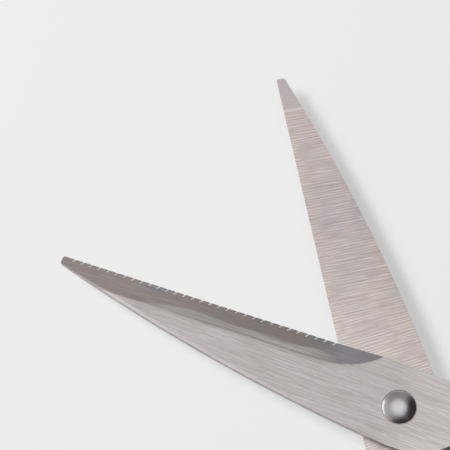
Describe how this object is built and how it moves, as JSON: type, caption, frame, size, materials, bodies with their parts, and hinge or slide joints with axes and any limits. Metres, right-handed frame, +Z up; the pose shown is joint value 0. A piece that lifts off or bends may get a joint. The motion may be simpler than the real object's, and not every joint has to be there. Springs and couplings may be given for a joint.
{
  "type": "office scissors",
  "caption": "Office scissors: two riveted steel blades, the upper edge finely notched, in moulded handles whose finger and thumb bows have soft linings.",
  "frame": {"origin": "on the pivot axis, in the plane of the undersides of the two bows", "axes": "+X forward midway between the blades as they lie open, +Z up along the pivot, away from the table"},
  "size_m": [0.1846, 0.1472, 0.0115],
  "materials": {
    "upper_blade_steel": "satin, brushed along the blade, with a dark hollow-ground bevel",
    "lower_blade_steel": "inner face ground across the blade",
    "rivet_steel": "polished dome",
    "washer_steel": "satin",
    "nylon": "matt natural nylon",
    "handle_plastic": "semi-gloss moulded, near black",
    "grip_rubber": "matt soft-touch, dark grey"
  },
  "bodies": {
    "rear_half": {"rear_blade": "lower_blade_steel", "pivot_rivet": "rivet_steel", "tail_washer": "washer_steel", "blade_washer": "nylon", "rear_handle": "handle_plastic", "finger_grip": "grip_rubber", "rear_stop": "grip_rubber"},
    "front_half": {"front_blade": "upper_blade_steel", "front_handle": "handle_plastic", "thumb_grip": "grip_rubber", "front_stop": "grip_rubber"}
  },
  "joints": [
    {"name": "pivot", "type": "hinge", "parent": "rear_half", "child": "front_half", "pos_m": [0, 0, 0.00575], "axis": [0, 0, 1], "range_deg": [-47.4, 45]}
  ]
}
